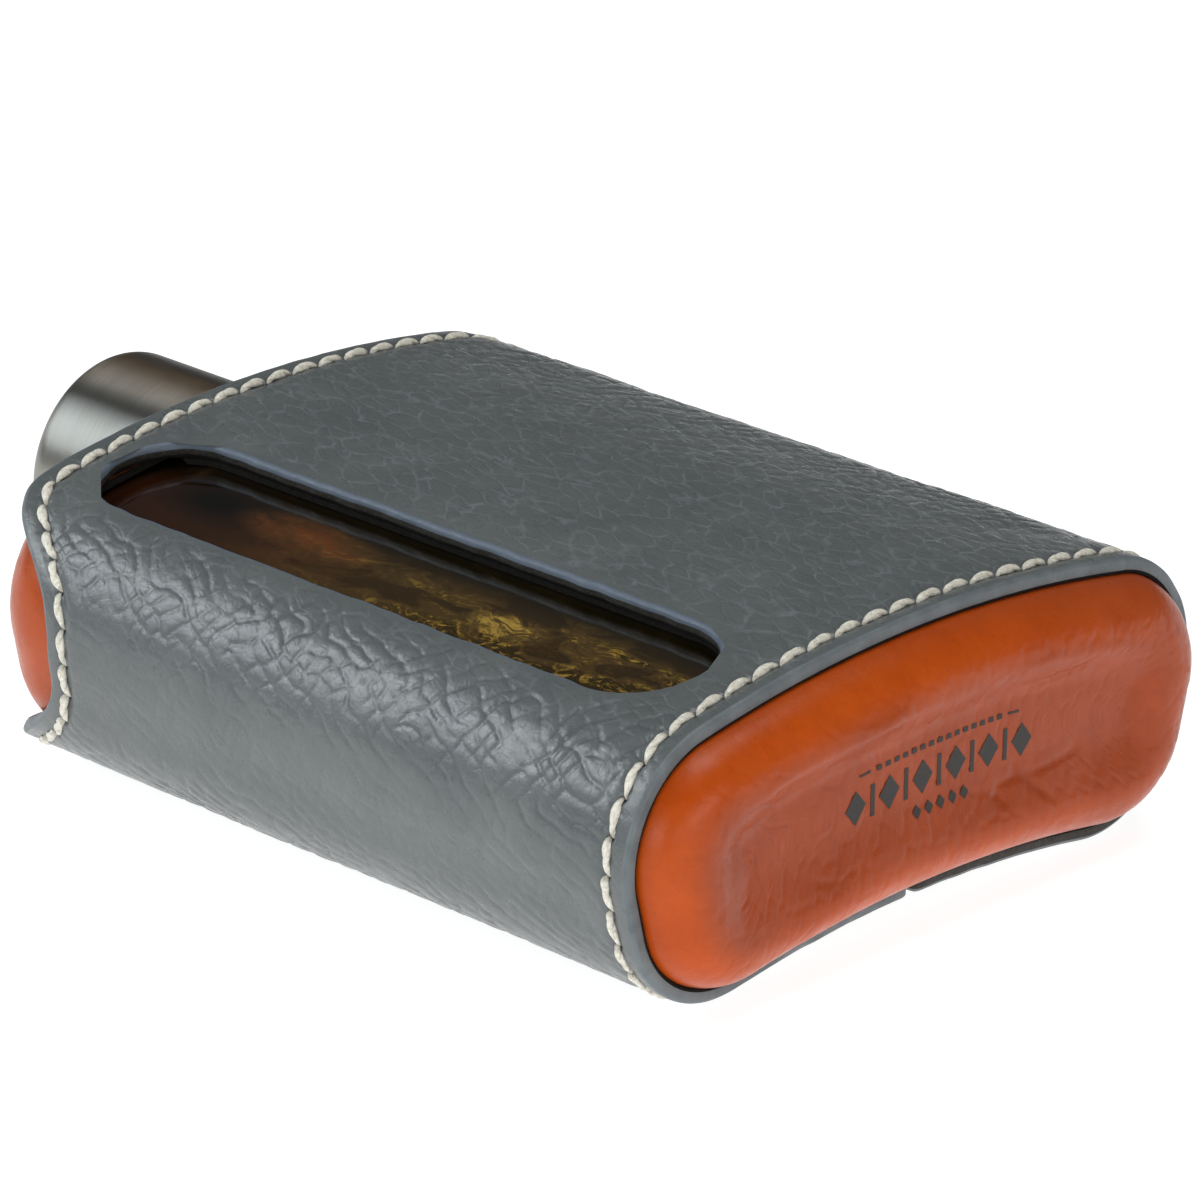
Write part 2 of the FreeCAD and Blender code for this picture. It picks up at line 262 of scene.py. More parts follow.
class Mesh:
    """Collects points and faces in millimetres and makes a Blender object of them."""

    def __init__(self):
        self.points = []
        self.faces = []
        self.tags = []
        self.values = {}
        self.count = 0

    def add(self, points, **values):
        """Adds points and returns their numbers. values are numbers stored at each point."""
        points = np.asarray(points, float)
        self.points.append(points)
        for name in set(self.values) | set(values):
            stored = self.values.setdefault(name, [np.zeros(self.count)])
            stored.append(np.broadcast_to(values.get(name, 0.0), len(points)).astype(float))
        start = self.count
        self.count += len(points)
        return np.arange(start, self.count)

    def face(self, numbers, tag=0):
        """Adds one face. tag is the number of its material."""
        self.faces.append([int(v) for v in numbers])
        self.tags.append(tag)

    def quads(self, a, b, tag=0):
        """Joins two closed rings of equal length."""
        for k in range(len(a)):
            n = (k + 1) % len(a)
            self.face((a[k], a[n], b[n], b[k]), tag)

    def tube(self, rings, tag=0):
        """Joins closed rings of equal length one after another."""
        for a, b in zip(rings, rings[1:]):
            self.quads(a, b, tag)

    def triangles(self, faces, numbers, tag=0):
        for face in faces:
            self.face(numbers[face], tag)

    def make(self, name, materials, smooth=True):
        points = (np.concatenate(self.points) + SHIFT) * MM
        mesh = bpy.data.meshes.new(name)
        mesh.from_pydata(points.tolist(), [], self.faces)
        for material in materials:
            mesh.materials.append(material)
        mesh.polygons.foreach_set("material_index", self.tags)
        mesh.polygons.foreach_set("use_smooth", [smooth] * len(self.faces))
        for label, stored in self.values.items():
            layer = mesh.attributes.new(label, "FLOAT", "POINT")
            layer.data.foreach_set("value", np.concatenate(stored))
        work = bmesh.new()
        work.from_mesh(mesh)
        bmesh.ops.recalc_face_normals(work, faces=work.faces)
        work.to_mesh(mesh)
        work.free()
        obj = bpy.data.objects.new(name, mesh)
        bpy.context.scene.collection.objects.link(obj)
        return obj


ROW_STEP = 0.866  # between the rows of a triangular grid, as a share of its spacing
GRID_SCATTER = 0.12


def triangulate(loops, inner, open_at):
    """Triangles inside the first closed 2D loop, through the inner points, where nothing is open."""
    points = [Vector(p) for loop in loops for p in loop] + [Vector(p) for p in inner]
    edges = []
    start = 0
    for loop in loops:
        n = len(loop)
        edges += [(start + k, start + (k + 1) % n) for k in range(n)]
        start += n
    made = delaunay_2d_cdt(points, edges, [], 1, 1e-6)
    original = np.array([ids[0] for ids in made[3]])
    faces = original[np.array(made[2])]
    middles = np.array(points)[faces].mean(axis=1)
    return faces[~open_at(middles[:, 0], middles[:, 1])]


def hex_grid(low, high, step):
    """Points of a triangular grid over a rectangle, slightly scattered."""
    rows = np.arange(low[1], high[1], step * ROW_STEP)
    grid = []
    for k, v in enumerate(rows):
        u = np.arange(low[0] + step * 0.5 * (k % 2), high[0], step)
        grid.append(np.stack([u, np.full(len(u), v)], -1))
    grid = np.concatenate(grid)
    index = np.arange(len(grid))
    for axis in (0, 1):
        grid[:, axis] += GRID_SCATTER * step * (hashed(index, 0 * index, axis + 1) - 0.5)
    return grid


def resample(line, step, closed):
    """Points an even distance apart along a line."""
    line = np.asarray(line, float)
    if closed:
        line = np.vstack([line, line[:1]])
    lengths = np.concatenate([[0], np.cumsum(np.linalg.norm(np.diff(line, axis=0), axis=1))])
    count = max(3, round(lengths[-1] / step))
    wanted = np.linspace(0, lengths[-1], count + 1)
    if closed:
        wanted = wanted[:-1]
    return np.stack([np.interp(wanted, lengths, line[:, k]) for k in range(line.shape[1])], -1)


def side_normals(loop):
    """Unit vectors to the left of a closed 2D loop."""
    along = np.roll(loop, -1, axis=0) - np.roll(loop, 1, axis=0)
    along /= np.linalg.norm(along, axis=1, keepdims=True)
    return np.stack([-along[:, 1], along[:, 0]], -1)


# ---- sleeve layout in its flat state ----

SEAM_EDGE = HALF - SEAM_GAP / 2
SCOOP_LEVEL = SLEEVE_LENGTH - 6  # y at which the scoop's height round the side is read
scoop_s = np.linspace(0, HALF, 1600)
scoop_z = skin(scoop_s, np.full(len(scoop_s), SCOOP_LEVEL))[0][:, 2]
scoop_reach = np.where(scoop_z > SCOOP_HEIGHT, SCOOP_ABOVE, SCOOP_BELOW)
scoop_reach = np.minimum(1.0, np.abs(scoop_z - SCOOP_HEIGHT) / scoop_reach)
scoop_drop = SCOOP_DEPTH * (1 - scoop_reach**3) ** 2


def shoulder_edge(s):
    """y of the sleeve's scooped cap end."""
    return SLEEVE_LENGTH - np.interp(np.abs(s), scoop_s, scoop_drop)


def shoulder_distance(s, y):
    """Distance inside the leather from the scooped cap end."""
    slope = (shoulder_edge(s + 0.2) - shoulder_edge(s - 0.2)) / 0.4
    return (shoulder_edge(s) - y) / np.sqrt(1 + slope**2)


window_s = BEND * math.asin(WINDOW_CENTRE / BEND)
window_low = WINDOW_START + WINDOW_WIDTH / 2
window_high = WINDOW_END - WINDOW_WIDTH / 2


def window_distance(s, y):
    """Distance outside the window's edge, less than 0 inside it."""
    beyond = y - np.clip(y, window_low, window_high)
    return np.hypot(s - window_s, beyond) - WINDOW_WIDTH / 2


def in_window(s, y):
    return window_distance(s, y) < 0


def edge_distance(s, y):
    """Distance inside the leather from its nearest cut edge."""
    edges = (y, SEAM_EDGE - np.abs(s), shoulder_distance(s, y), window_distance(s, y))
    return np.minimum.reduce(edges)


def seam_offset(s, y):
    """Distance across from the nearer of the two stitched rings."""
    return np.minimum(np.abs(y - STITCH_MARGIN), np.abs(shoulder_distance(s, y) - STITCH_MARGIN))


def ring_line(which):
    """Flat line of a stitch ring, from the left seam edge to the right one."""
    s = np.linspace(-HALF, HALF, 3000)
    if which == "base":
        return np.stack([s, np.full(len(s), STITCH_MARGIN)], -1)
    edge = np.stack([s, shoulder_edge(s)], -1)
    along = np.gradient(edge, axis=0)
    along /= np.linalg.norm(along, axis=1, keepdims=True)
    return edge + np.stack([along[:, 1], -along[:, 0]], -1) * STITCH_MARGIN


def stitch_holes(which):
    """Flat positions where the thread dips into the leather, evenly spaced round a ring."""
    return resample(ring_line(which), STITCH_PITCH, False)


HOLES = {which: stitch_holes(which) for which in ("base", "shoulder")}


# ---- grain of the leather ----

GRAIN_CELL = 2.05  # from one crease of the sleeve's grain to the next
CREASE_WIDTH = 0.16
BEND_PLACE = 38.5  # round the sleeve: the rounded corners, where the grain stands highest
BEND_SPREAD = 7.8
LOWER_BEND_PLACE = 64.0
LOWER_BEND_SPREAD = 8.0
FRONT_REACH = (40, 30)  # the flat front fades out and is full at these places round the sleeve
STITCH_GROOVE = 0.24  # depth pressed in along a row of stitches
HOLE_DEPTH = 0.62


def creases(u, v, size, seed, width):
    """Depth, 0 to 1, of a network of wandering creases round long cells."""
    wu = u + 1.1 * value_noise(u / 5.0, v / 5.0, seed + 11)
    wv = v + 1.1 * value_noise(u / 5.0, v / 5.0, seed + 12)
    first, second, _ = cells(wu / size, wv / size, seed)
    return bell((second - first) * size, width)


def wander(s, y, broad, narrow, seed):
    """How far noise of two sizes pushes a crease aside, in cells."""
    pushed = 0.60 * value_noise(s / broad, y / broad, seed)
    return pushed + 0.22 * value_noise(s / narrow, y / narrow, seed + 1)


def scales(s, y, seed):
    """Height of the domes, and depth of the creases, where two families of wandering creases cross."""
    across = (0.87 * s - 0.50 * y) / GRAIN_CELL
    across += wander(s, y, 4.4, 2.0, seed)
    climb = (0.64 * s + 0.77 * y) / (1.15 * GRAIN_CELL)
    climb += 0.50 * hashed(np.floor(across), 0 * s, seed + 5)
    climb += wander(s, y, 4.8, 2.2, seed + 2)
    depth = 0
    dome = 1
    for k, phase in enumerate((across, climb)):
        near = np.abs(phase - np.round(phase))
        broken = smoothstep(-0.6, 0.15, value_noise(s / 2.6 + 9 * k, y / 3.0, seed + 7))
        depth = np.maximum(depth, broken * bell(near * GRAIN_CELL, CREASE_WIDTH))
        rounding = np.sqrt(np.maximum(0, 1 - (1 - 2 * near) ** 2))
        dome = dome * (1 - (1 - rounding) * (0.35 + 0.65 * broken))
    return dome, depth


def leather_relief(s, y):
    """Height of the sleeve's surface above its mean, and two shares for its material.

    The shares are how much painted shade darkens each point, most in the creases and stitch grooves,
    and how far it belongs to the flat front.
    """
    bend = bell(np.abs(s) - BEND_PLACE, BEND_SPREAD)
    lower_bend = bell(np.abs(s) - LOWER_BEND_PLACE, LOWER_BEND_SPREAD)
    flat = smoothstep(*FRONT_REACH, np.abs(s))
    patchy = 0.85 + 0.35 * value_noise(s / 13, y / 13, 5)
    dome, line = scales(s, y, 3)
    small = pebbles(s, y, 1.3, 23, 0.2)
    swell = 0.10 * value_noise(s / 9, y / 11, 41) + 0.04 * value_noise(s / 4, y / 4, 42)
    height = patchy * dome * (0.035 + 0.145 * bend + 0.11 * lower_bend + 0.025 * flat)
    height -= patchy * line * (0.03 + 0.03 * bend + 0.03 * lower_bend + 0.03 * flat)
    height += swell + (0.008 + 0.007 * bend) * small
    groove = STITCH_GROOVE * bell(seam_offset(s, y), 0.8)
    for holes in HOLES.values():
        index = np.clip(np.searchsorted(holes[:, 0], s), 1, len(holes) - 1)
        for k in (index - 1, index):
            away = np.hypot(s - holes[k, 0], y - holes[k, 1])
            groove = np.maximum(groove, HOLE_DEPTH * bell(away, 0.5))
    fade = smoothstep(0.5, 2.4, edge_distance(s, y))
    # painted shade: how dark the creases and stitch grooves are painted
    crease = np.clip(0.45 * line * bend * fade + 1.2 * groove, 0, 1)
    # the last share also places the lighter painted highlight lines on the flat front
    return height * fade - groove, crease, fade * flat


# ---- sleeve ----

EDGE_ROUND = 0.55  # radius of the cut edges
PAINTED_DEPTH = 1.3  # below this a cut edge shows its bare dark flesh side
GRAIN_ZONES = (  # from, to and point spacing, across the flat sleeve
    (-HALF, -70.0, 0.62),
    (-70.0, -54.0, 0.36),
    (-54.0, -27.0, 0.26),
    (-27.0, 54.0, 0.38),
    (54.0, HALF, 0.62),
)
EDGE_SMOOTHING = 6  # passes
EDGE_UNEVEN = 0.17  # how far the hand-cut window edge wanders
WORN_FROM = 66  # past this place round the sleeve the base end's edge has lost its paint
WORN_TO = 70
WORN_HEIGHT = 3
EDGE_PAINT, FLESH_SIDE = 1, 2


def sleeve_loops():
    """Outline and window of the flat sleeve, leather on the left of each."""
    s = np.linspace(-SEAM_EDGE, SEAM_EDGE, 2000)
    edge = np.stack([s, shoulder_edge(s)], -1)
    outer = np.vstack([[(-SEAM_EDGE, 0), (SEAM_EDGE, 0)], edge[::-1]])
    angle = np.linspace(0, math.pi, 60)
    r = WINDOW_WIDTH / 2
    top = np.stack([window_s - r * np.cos(angle), window_high + r * np.sin(angle)], -1)
    bottom = np.stack([window_s + r * np.cos(angle), window_low - r * np.sin(angle)], -1)
    loops = [resample(outer, EDGE_STEP, True), resample(np.vstack([top, bottom]), EDGE_STEP, True)]
    for _ in range(EDGE_SMOOTHING):
        loops[0] = (loops[0] + (np.roll(loops[0], 1, 0) + np.roll(loops[0], -1, 0)) / 2) / 2
    uneven = value_noise(loops[1][:, 0] / 2.2, loops[1][:, 1] / 2.2, 62)
    loops[1] = loops[1] + side_normals(loops[1]) * EDGE_UNEVEN * uneven[:, None]
    return loops


def build_sleeve(materials):
    body = Mesh()
    loops = sleeve_loops()
    inward = [side_normals(loop) for loop in loops]
    tops, top_numbers, bottoms, bottom_numbers = [], [], [], []
    turns = np.linspace(0, math.pi / 2, 7)
    profile = [(EDGE_ROUND * (1 - math.sin(a)), EDGE_ROUND * (1 - math.cos(a))) for a in turns]
    profile += [(-0.04, 0.85), (-0.04, 1.1), (0.0, PAINTED_DEPTH), (0.05, 1.5), (0.2, SLEEVE_LEATHER)]
    for window, (loop, side) in enumerate(zip(loops, inward)):
        previous = None
        waver = 0.07 * value_noise(loop[:, 0] / 2.3, loop[:, 1] / 2.3, 61)
        for k, (inside, depth) in enumerate(profile):
            flat = loop + side * (inside + waver[:, None] * (inside > 0))
            lift = leather_relief(flat[:, 0], flat[:, 1])[0] if k == 0 else 0.0
            point, _ = skin(flat[:, 0], flat[:, 1], depth - lift)
            if window:
                bare = smoothstep(0.55, 0.85, depth)
            else:
                bare = smoothstep(0.35, 0.6, depth) * (flat[:, 1] < WORN_HEIGHT)
                bare = bare * smoothstep(WORN_FROM, WORN_TO, flat[:, 0])
            # the window's edge is marked for a painted bluish reflection
            numbers = body.add(point, bare=bare, cool=window)
            if previous is None:
                tops.append(flat)
                top_numbers.append(numbers)
            else:
                body.quads(previous, numbers, FLESH_SIDE if depth > PAINTED_DEPTH else EDGE_PAINT)
            previous = numbers
        bottoms.append(flat)
        bottom_numbers.append(previous)

    zones = [hex_grid((a + step / 2, 0), (b, SLEEVE_LENGTH), step) for a, b, step in GRAIN_ZONES]
    grid = np.concatenate(zones)
    grid = grid[edge_distance(grid[:, 0], grid[:, 1]) > EDGE_ROUND + 0.35]
    lift, crease, pale = leather_relief(grid[:, 0], grid[:, 1])
    point, _ = skin(grid[:, 0], grid[:, 1], -lift)
    numbers = body.add(point, crease=crease, pale=pale)
    faces = triangulate(tops, grid, in_window)
    body.triangles(faces, np.concatenate(top_numbers + [numbers]))

    lattice = hex_grid((-HALF, 0), (HALF, SLEEVE_LENGTH), LINING_STEP)
    lattice = lattice[edge_distance(lattice[:, 0], lattice[:, 1]) > LINING_STEP / 2]
    point, _ = skin(lattice[:, 0], lattice[:, 1], SLEEVE_LEATHER)
    numbers = body.add(point)
    faces = triangulate(bottoms, lattice, in_window)
    body.triangles(faces, np.concatenate(bottom_numbers + [numbers]), FLESH_SIDE)
    return body.make("sleeve_leather", materials)


# ---- orange leather ends ----

def middle_height(x):
    """z of the body's bent middle surface at x."""
    return np.sqrt(BEND**2 - x**2) - BEND


def base_height(inset, x, z, along, grain=1.0):
    """y of the base cup's outside, inset from its rim. grain 0 leaves its finest creases out."""
    rim = np.minimum(inset, BASE_ROUND)
    y = -np.sqrt(np.maximum(0, BASE_ROUND**2 - (BASE_ROUND - rim) ** 2)) + BASE_ROUND - BASE_BULGE
    upper = smoothstep(-1.5, 1.5, z - middle_height(x))
    ends = smoothstep(22, 36, np.abs(x))
    mouth = (3.2 + 2.2 * upper) * (1 - ends) + 6.0 * ends
    width = (8.5 - 4.0 * upper) * (1 - ends) + 8.0 * ends
    sunk = smoothstep(mouth, mouth + width, inset)
    y = y + RECESS_DEPTH * sunk
    slope = smoothstep(mouth - 2.5, mouth + 1.0, inset)
    ridge = bell(inset - mouth - 0.4, 0.9) * upper * (1 - ends)
    y = y - 0.22 * ridge * (0.6 + 0.8 * value_noise(x / 5, z * 0, 78))
    fold = np.abs(value_noise(x / 6.5 + 3 + z / 9, z / 3.0, 71))
    wrinkle = bell(fold, 0.10) * smoothstep(0.1, 0.6, value_noise(x / 9, z / 5, 79))
    radial = creases(along * 0.9, inset * 0.33, 2.4, 73, 0.35)
    radial = radial * smoothstep(-0.2, 0.6, value_noise(x / 7, z / 7, 75))
    band = smoothstep(1.5, 4.0, inset) * (1 - smoothstep(8.5, 11.5, inset))
    fine = creases(x * 1.1, (z + 0.25 * x) * 0.7, 2.3, 76, 0.24)
    quiet = smoothstep(0.4, 2.5, inset)
    y = y + 0.22 * slope * wrinkle + 0.040 * band * radial + 0.085 * grain * quiet * fine
    return y + quiet * 0.16 * value_noise(x / 8, z / 6, 74)


def close_ring(body, ring, tag=0):
    """Closes a thin ring by joining its front half to its back half, from its left end on."""
    n = len(ring)
    ring = np.roll(ring, -(n // 4))
    for k in range(n // 2 - 1):
        body.face((ring[k], ring[k + 1], ring[n - 2 - k], ring[n - 1 - k]), tag)


def cup_ring(inset):
    """Points on the base cup's outside at one distance in from its rim."""
    pull = CUP_INSET + inset
    outline = Outline(BODY_WIDTH - 2 * pull, THICKNESS - 2 * pull, max(0.4, CORNER - pull))
    point, _ = outline.at(RING_SHARES)
    y = base_height(np.full(AROUND, inset), point[:, 0], point[:, 1], RING_PLACES)
    return np.stack([point[:, 0], y, point[:, 1]], -1)


def build_base_cup(materials):
    body = Mesh()
    rings = []
    for y in (BASE_WALL, 5.0, 3.0, 1.6):
        rings.append(body.add(ring_at(y, CUP_INSET), depth=0.0))
    deepest = THICKNESS / 2 - CUP_INSET - 0.9
    insets = BASE_ROUND * (1 - np.cos(np.linspace(0, 1.1, 9)))
    insets = np.concatenate([insets, np.linspace(insets[-1], deepest, BASE_RINGS)[1:]])
    for inset in insets:
        point = cup_ring(inset)
        # share of the duller, darker colour: more in the hollow, and painted shade over the +x side
        dull_and_shaded = np.maximum(smoothstep(2, 7, inset), 0.7 * smoothstep(0, 34, point[:, 0]))
        rings.append(body.add(point, depth=dull_and_shaded))
    body.tube(rings)
    close_ring(body, rings[-1])
    inside = []
    for y in (BASE_WALL, 1.6):
        inside.append(body.add(ring_at(y, CUP_INSET + CUP_WALL)))
    for inset in insets[insets < deepest - 0.8]:
        level = max(0.0, 1 - inset / BASE_ROUND)
        point = cup_ring(inset + CUP_LEATHER * 0.5 * level)
        point[:, 1] += CUP_LEATHER
        inside.append(body.add(point))
    body.quads(rings[0], inside[0], 1)
    body.tube(inside, 1)
    close_ring(body, inside[-1], 1)
    return body.make("base_leather", materials)


DOME_LEVEL = SHOULDER_TOP - 5.0  # y at which the shoulder cup takes its width


def rounded_rings(inset):
    """Rings round the shoulder cup's dome, one for each step of its quarter turn."""
    rings = []
    for pull in 1 - np.cos(np.linspace(0, math.pi / 2, DOME_STEPS)):
        side, face = SHOULDER_SIDE_ROUND * pull, SHOULDER_FACE_ROUND * pull
        rings.append(ring_at(DOME_LEVEL, inset, side, face))
    return np.array(rings)


def build_shoulder_cup(materials):
    """Domed cup whose lower edge follows the sleeve's cut end a little way inside it."""
    body = Mesh()
    rise = SHOULDER_SIDE_ROUND
    start = shoulder_edge(RING_PLACES) - SHOULDER_LAP
    straight = np.maximum(0, SHOULDER_TOP - rise - start)
    first_turn = np.arcsin(np.clip((start - SHOULDER_TOP + rise) / rise, 0, 1))
    column = np.arange(AROUND)
    layers = []
    for inset, wall in ((CUP_INSET, 0), (CUP_INSET + CUP_WALL, 1)):
        table = rounded_rings(inset)
        rings = []
        for share in np.linspace(0, 1, SHOULDER_RINGS):
            walked = share * (straight + rise * (math.pi / 2 - first_turn))
            turn = first_turn + np.maximum(0, walked - straight) / rise
            place = turn / (math.pi / 2) * (DOME_STEPS - 1)
            low = np.clip(np.floor(place).astype(int), 0, DOME_STEPS - 2)
            part = (place - low)[:, None]
            point = table[low, column] * (1 - part) + table[low + 1, column] * part
            domed = SHOULDER_TOP - rise + rise * np.sin(turn)
            y = np.where(walked < straight, start + walked, domed)
            grain = creases(RING_PLACES * 0.8, y * 1.2 + point[:, 2] * 0.3, 2.4, 83, 0.3)
            point[:, 1] = y - wall * 1.3 * np.sin(turn) - 0.05 * grain * (1 - wall)
            rings.append(body.add(point, depth=0.6))
        final = point
        for share in np.linspace(0.08, 0.96, LID_RINGS):
            inner = final.copy()
            inner[:, 2] = final[:, 2] * (1 - share) + share * middle_height(final[:, 0])
            rings.append(body.add(inner))
        body.tube(rings, wall)
        close_ring(body, rings[-1], wall)
        layers.append(rings[0])
    body.quads(layers[0], layers[1], 1)
    cup = body.make("shoulder_leather", materials)
    cut_neck_hole(cup)
    return cup


def cut_neck_hole(cup):
    """Cuts the round hole that the neck stands in."""
    bpy.ops.mesh.primitive_cylinder_add(
        vertices=128,
        radius=NECK_HOLE * MM,
        depth=14 * MM,
        location=(0, (SHOULDER_TOP + SHIFT[1]) * MM, (NECK_HEIGHT + SHIFT[2]) * MM),
        rotation=(math.pi / 2, 0, 0),
    )
    cutter = bpy.context.object
    hole = cup.modifiers.new("neck_hole", "BOOLEAN")
    hole.operation = "DIFFERENCE"
    hole.object = cutter
    hole.solver = "EXACT"
    shaped = bpy.context.evaluated_depsgraph_get()
    mesh = bpy.data.meshes.new_from_object(cup.evaluated_get(shaped))
    cup.modifiers.clear()
    cup.data = mesh
    bpy.data.objects.remove(cutter)


# ---- stitches ----

THREAD_WIDTH = 0.53  # half width and half height of a stitch at its fullest
THREAD_HEIGHT = 0.42
THREAD_ARCH = 0.36  # how far its middle stands above its ends
THREAD_SUNK = 0.32  # how far its ends lie under the surface
THREAD_SLANT = 0.27  # how far its ends lie to either side of the row
LACE_WIDTH = 0.42
LACE_HEIGHT = 0.34
LACE_ARCHES = (0.22, 0.47)  # of the lower and the upper thread of a cross
STRANDS = 2
STRAND_TURNS = 0.85  # turns of the twist along one stitch


def thread_stitch(body, start, end, up, width, height, arch, blunt, phase):
    """One twisted stitch from start to end, its middle arch above its ends.

    blunt is 1 for a plump stitch that leans to one side, 0 for an even one.
    """
    along = end - start
    length = np.linalg.norm(along)
    along = along / length
    across = np.cross(up, along)
    across /= np.linalg.norm(across)
    up = np.cross(along, across)
    rings = []
    for k in range(STITCH_STEPS + 1):
        t = k / STITCH_STEPS
        full = max(0.15, min(1.0, 1.5 * t**0.42 * (1 - t) ** (0.42 - 0.18 * blunt)))
        centre = start + along * length * t
        centre = centre + up * (arch * (1 - (2 * t - 1) ** 4) - THREAD_SUNK)
        centre = centre + across * 0.2 * math.sin(math.pi * t) * blunt
        ring = []
        for j in range(STITCH_SIDES):
            angle = 2 * math.pi * j / STITCH_SIDES
            twist = STRANDS * (angle / 2 - math.pi * STRAND_TURNS * t) - phase
            lobe = 0.62 + 0.44 * abs(math.cos(twist)) ** 0.7
            fray = 0.05 * (hashed(float(k), float(j), 3.0 + phase) - 0.5)
            point = centre + across * math.cos(angle) * width * full * (lobe + fray)
            ring.append(point + up * math.sin(angle) * height * full * (lobe + fray))
        # painted shade share: 1 at the stitch's ends, where it sinks into its holes
        rings.append(body.add(ring, strand=0.5 + 0.5 * math.cos(2 * math.pi * t)))
    body.tube(rings)
    body.face(rings[0][::-1])
    body.face(rings[-1])


def build_ring_stitches(name, which, material):
    """One row of stitches round an end of the sleeve, hole to hole."""
    body = Mesh()
    holes = HOLES[which]
    for k in range(len(holes) - 1):
        a, b = holes[k], holes[k + 1]
        flat = b - a
        flat /= np.linalg.norm(flat)
        side = np.array([-flat[1], flat[0]])
        slant = THREAD_SLANT + 0.10 * (hashed(float(k), 1.0, 9) - 0.5)
        start = a - side * slant + flat * 0.08
        end = b + side * slant + flat * 0.08
        ends = np.array([start, end, (a + b) / 2])
        point, normal = skin(ends[:, 0], ends[:, 1])
        size = 1 + 0.10 * (hashed(float(k), 2.0, 9) - 0.5)
        width, height = THREAD_WIDTH * size, THREAD_HEIGHT * size
        thread_stitch(body, *point[:2], normal[2], width, height, THREAD_ARCH, 1.0, 0.7 * k)
    return body.make(name, [material])


def build_seam_stitches(name, material):
    """Crossed lacing over the butt seam on the back."""
    body = Mesh()
    count = round((SEAM_END - SEAM_START) / STITCH_PITCH)
    step = (SEAM_END - SEAM_START) / count
    for k in range(count):
        y = SEAM_START + (k + 0.5) * step
        for layer, side in enumerate((-1, 1)):
            s = np.array([HALF - SEAM_REACH, SEAM_REACH - HALF])
            point, normal = skin(s, np.array([y - side * step / 2, y + side * step / 2]))
            up = normal[0] + normal[1]
            up = up / np.linalg.norm(up)
            arch = LACE_ARCHES[layer]
            thread_stitch(body, *point, up, LACE_WIDTH, LACE_HEIGHT, arch, 0.0, k + layer)
    return body.make(name, [material])


# ---- printed ornament ----

INK_LIFT = 0.05  # how far the ink stands off the leather
ORNAMENT_ROW = -0.6  # z, from the base's middle line, of the row of lozenges
DOTTED_ROW = 2.6
SMALL_ROW = -4.0


def ink_patch(body, corners):
    """A four-sided patch of ink that follows the base. Corners are x and z from the middle line."""
    corners = np.asarray(corners, float)
    steps = np.linspace(0, 1, 7)
    rows = []
    for v in steps:
        left = corners[0] * (1 - v) + corners[3] * v
        right = corners[1] * (1 - v) + corners[2] * v
        row = np.array([left * (1 - u) + right * u for u in steps])
        x = row[:, 0]
        z = row[:, 1] + middle_height(x)
        inset = THICKNESS / 2 - CUP_INSET - np.abs(row[:, 1])
        y = base_height(inset, x, z, 0 * x, grain=0.0) - INK_LIFT
        rows.append(body.add(np.stack([x, y, z], -1)))
    for a, b in zip(rows, rows[1:]):
        for k in range(len(a) - 1):
            body.face((a[k], a[k + 1], b[k + 1], b[k]))


def ink_bar(body, x, z, width, height):
    left, right = x - width / 2, x + width / 2
    low, high = z - height / 2, z + height / 2
    ink_patch(body, [(left, low), (right, low), (right, high), (left, high)])


def ink_lozenge(body, x, z, width, height):
    left, right = x - width / 2, x + width / 2
    ink_patch(body, [(x, z - height / 2), (right, z), (x, z + height / 2), (left, z)])


def build_print(name, material):
    """Plain bars, lozenges and rules inked on the sunken base."""
    body = Mesh()
    for k in range(6):
        x = -12.5 + 5.0 * k
        ink_lozenge(body, x, ORNAMENT_ROW, 3.0, 3.7)
        if k < 5:
            ink_bar(body, x + 2.5, ORNAMENT_ROW, 0.6, 3.4)
    for k in range(15):
        ink_bar(body, -9.1 + 1.3 * k, DOTTED_ROW, 0.75, 0.55)
    for side in (-1, 1):
        ink_bar(body, side * 11.2, DOTTED_ROW, 1.6, 0.25)
    for k in range(5):
        ink_lozenge(body, -3.6 + 1.8 * k, SMALL_ROW, 1.3, 1.5)
    return body.make(name, [material], smooth=False)


# ---- cap ----

def cap_corner(radius, angles):
    """Profile points on an arc about the middle of the cap's rounded edge."""
    y, r = CAP_END - CAP_EDGE, CAP_RADIUS - CAP_EDGE
    return [(y + radius * math.sin(a), r + radius * math.cos(a)) for a in angles]


def build_cap(materials):
    """Turned cap: closed profile of (y, radius) swept round the neck's axis."""
    turn = np.linspace(0, math.pi / 2, 14)
    outside = [(CAP_START + 0.1, CAP_RADIUS - 0.08), (CAP_START + 0.22, CAP_RADIUS)]
    outside += [(y, CAP_RADIUS) for y in np.linspace(CAP_START + 1.2, CAP_END - CAP_EDGE, 12)]
    outside += cap_corner(CAP_EDGE, turn[1:])
    outside += [(CAP_END, r) for r in (8.0, 6.0, 4.0, 2.0, 0.5)]
    inside = [(CAP_END - CAP_WALL, r) for r in (0.5, 4.0, 8.0)]
    inside += cap_corner(CAP_EDGE - CAP_WALL, turn[::-1])
    inside += [(CAP_START, CAP_RADIUS - CAP_WALL), (CAP_START, CAP_RADIUS - 0.2)]
    body = Mesh()
    spokes = clockwise(2 * math.pi * np.arange(CAP_SEGMENTS) / CAP_SEGMENTS)
    rings = []
    for y, r in outside + inside:
        x, z = spokes[:, 0] * r, NECK_HEIGHT + spokes[:, 1] * r
        rings.append(body.add(np.stack([x, np.full(CAP_SEGMENTS, y), z], -1)))
    split = len(outside)
    body.tube(rings[:split])
    body.tube(rings[split:] + rings[:1])
    body.face(rings[split - 1])
    body.face(rings[split][::-1])
    return body.make("cap_barrel", materials)


# ---- materials ----

